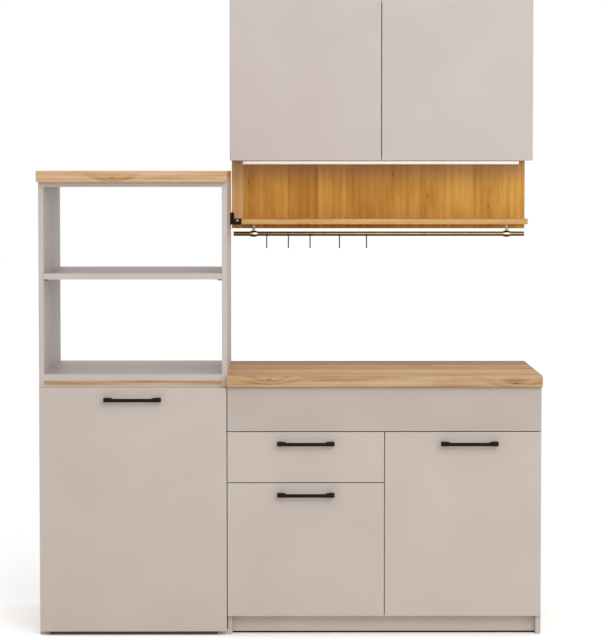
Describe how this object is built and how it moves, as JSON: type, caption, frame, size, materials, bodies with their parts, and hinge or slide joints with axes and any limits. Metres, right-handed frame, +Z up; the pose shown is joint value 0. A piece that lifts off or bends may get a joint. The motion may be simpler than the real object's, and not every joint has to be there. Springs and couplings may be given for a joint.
{
  "type": "kitchenette cabinet set",
  "caption": "Fitted kitchenette set with a tall open-top cabinet, a base cabinet with oak worktop, and a wall cabinet over an oak panel with ledge, light strip and hook rail.",
  "frame": {"origin": "on the floor, at the middle of the set's width and depth", "axes": "+Z up, fronts face -Y, the wall is at the +Y end, +X to the right seen from the front"},
  "size_m": [1.6, 0.612, 2.036],
  "materials": {
    "beige_laminate": "cashmere grey-beige melamine on chipboard, matt with a fine grain",
    "oak_laminate": "light oak decor with lengthwise planks, satin",
    "oak_panel": "warm oak decor with upright grain, satin",
    "white_board": "white coated board, satin",
    "dark_metal": "dark brown-black powder coat, fine and matt",
    "steel": "nickel-plated pressed steel",
    "runner_white": "white epoxy-coated steel",
    "white_plastic": "white moulded plastic, matt",
    "foot_plastic": "grey-beige moulded plastic",
    "channel_aluminium": "natural anodised extrusion",
    "diffuser": "opal cover, lit from within",
    "bronze": "polished dark bronze plate"
  },
  "bodies": {
    "root": {"tall_left_side": "beige_laminate", "tall_right_side": "beige_laminate", "tall_top_board": "oak_laminate", "tall_top_panel": "beige_laminate", "tall_open_shelf": "beige_laminate", "tall_open_floor": "beige_laminate", "tall_trim_board": "oak_laminate", "tall_bottom": "beige_laminate", "tall_inner_shelf": "beige_laminate", "tall_feet": "foot_plastic", "worktop": "oak_laminate", "base_left_side": "beige_laminate", "base_right_side": "beige_laminate", "base_divider": "beige_laminate", "base_bottom": "beige_laminate", "base_rails": "beige_laminate", "base_fascia": "beige_laminate", "base_plinth": "beige_laminate", "base_shelves": "beige_laminate", "cabinet_runners": "runner_white", "wall_left_side": "beige_laminate", "wall_right_side": "beige_laminate", "wall_top": "beige_laminate", "wall_bottom": "beige_laminate", "wall_shelf": "beige_laminate", "wall_hangers": "white_plastic", "wall_rail": "steel", "back_boards": "white_board", "hinge_arms": "steel", "shelf_pins": "steel", "panel_board": "oak_panel", "ledge_shelf": "oak_panel", "light_channel": "channel_aluminium", "light_diffuser": "diffuser", "hook_rail": "bronze", "rail_holders": "bronze", "joining_bracket": "dark_metal"},
    "tall_door_body": {"tall_door": "beige_laminate", "tall_handle": "dark_metal", "tall_hinge_cups": "steel"},
    "drawer_body": {"drawer_front": "beige_laminate", "drawer_box": "white_board", "drawer_bottom": "white_board", "drawer_handle": "dark_metal", "drawer_runners": "runner_white"},
    "left_door_body": {"left_door": "beige_laminate", "left_handle": "dark_metal", "left_hinge_cups": "steel"},
    "right_door_body": {"right_door": "beige_laminate", "right_handle": "dark_metal", "right_hinge_cups": "steel"},
    "wall_left_door_body": {"wall_left_door": "beige_laminate", "wall_left_hinge_cups": "steel"},
    "wall_right_door_body": {"wall_right_door": "beige_laminate", "wall_right_hinge_cups": "steel"},
    "hook_1_body": {"hook_1": "bronze"},
    "hook_2_body": {"hook_2": "bronze"},
    "hook_3_body": {"hook_3": "bronze"},
    "hook_4_body": {"hook_4": "bronze"},
    "hook_5_body": {"hook_5": "bronze"}
  },
  "joints": [
    {"name": "tall_door_hinge", "type": "hinge", "parent": "root", "child": "tall_door_body", "pos_m": [-0.7955, -0.274, 0.4], "axis": [0, 0, -1], "range_deg": [0, 110]},
    {"name": "drawer_slide", "type": "slide", "parent": "root", "child": "drawer_body", "axis": [0, -1, 0], "range_m": [0, 0.36]},
    {"name": "left_door_hinge", "type": "hinge", "parent": "root", "child": "left_door_body", "pos_m": [-0.1985, -0.274, 0.27], "axis": [0, 0, -1], "range_deg": [0, 110]},
    {"name": "right_door_hinge", "type": "hinge", "parent": "root", "child": "right_door_body", "pos_m": [0.7985, -0.274, 0.35], "axis": [0, 0, 1], "range_deg": [0, 110]},
    {"name": "wall_left_door_hinge", "type": "hinge", "parent": "root", "child": "wall_left_door_body", "pos_m": [-0.1955, 0.006, 1.77], "axis": [0, 0, -1], "range_deg": [0, 110]},
    {"name": "wall_right_door_hinge", "type": "hinge", "parent": "root", "child": "wall_right_door_body", "pos_m": [0.7955, 0.006, 1.77], "axis": [0, 0, 1], "range_deg": [0, 110]},
    {"name": "hook_1_slide", "type": "slide", "parent": "root", "child": "hook_1_body", "axis": [1, 0, 0], "range_m": [-0.025, 0.03]},
    {"name": "hook_2_slide", "type": "slide", "parent": "root", "child": "hook_2_body", "axis": [1, 0, 0], "range_m": [-0.03, 0.03]},
    {"name": "hook_3_slide", "type": "slide", "parent": "root", "child": "hook_3_body", "axis": [1, 0, 0], "range_m": [-0.03, 0.04]},
    {"name": "hook_4_slide", "type": "slide", "parent": "root", "child": "hook_4_body", "axis": [1, 0, 0], "range_m": [-0.04, 0.04]},
    {"name": "hook_5_slide", "type": "slide", "parent": "root", "child": "hook_5_body", "axis": [1, 0, 0], "range_m": [-0.04, 0.44]}
  ]
}
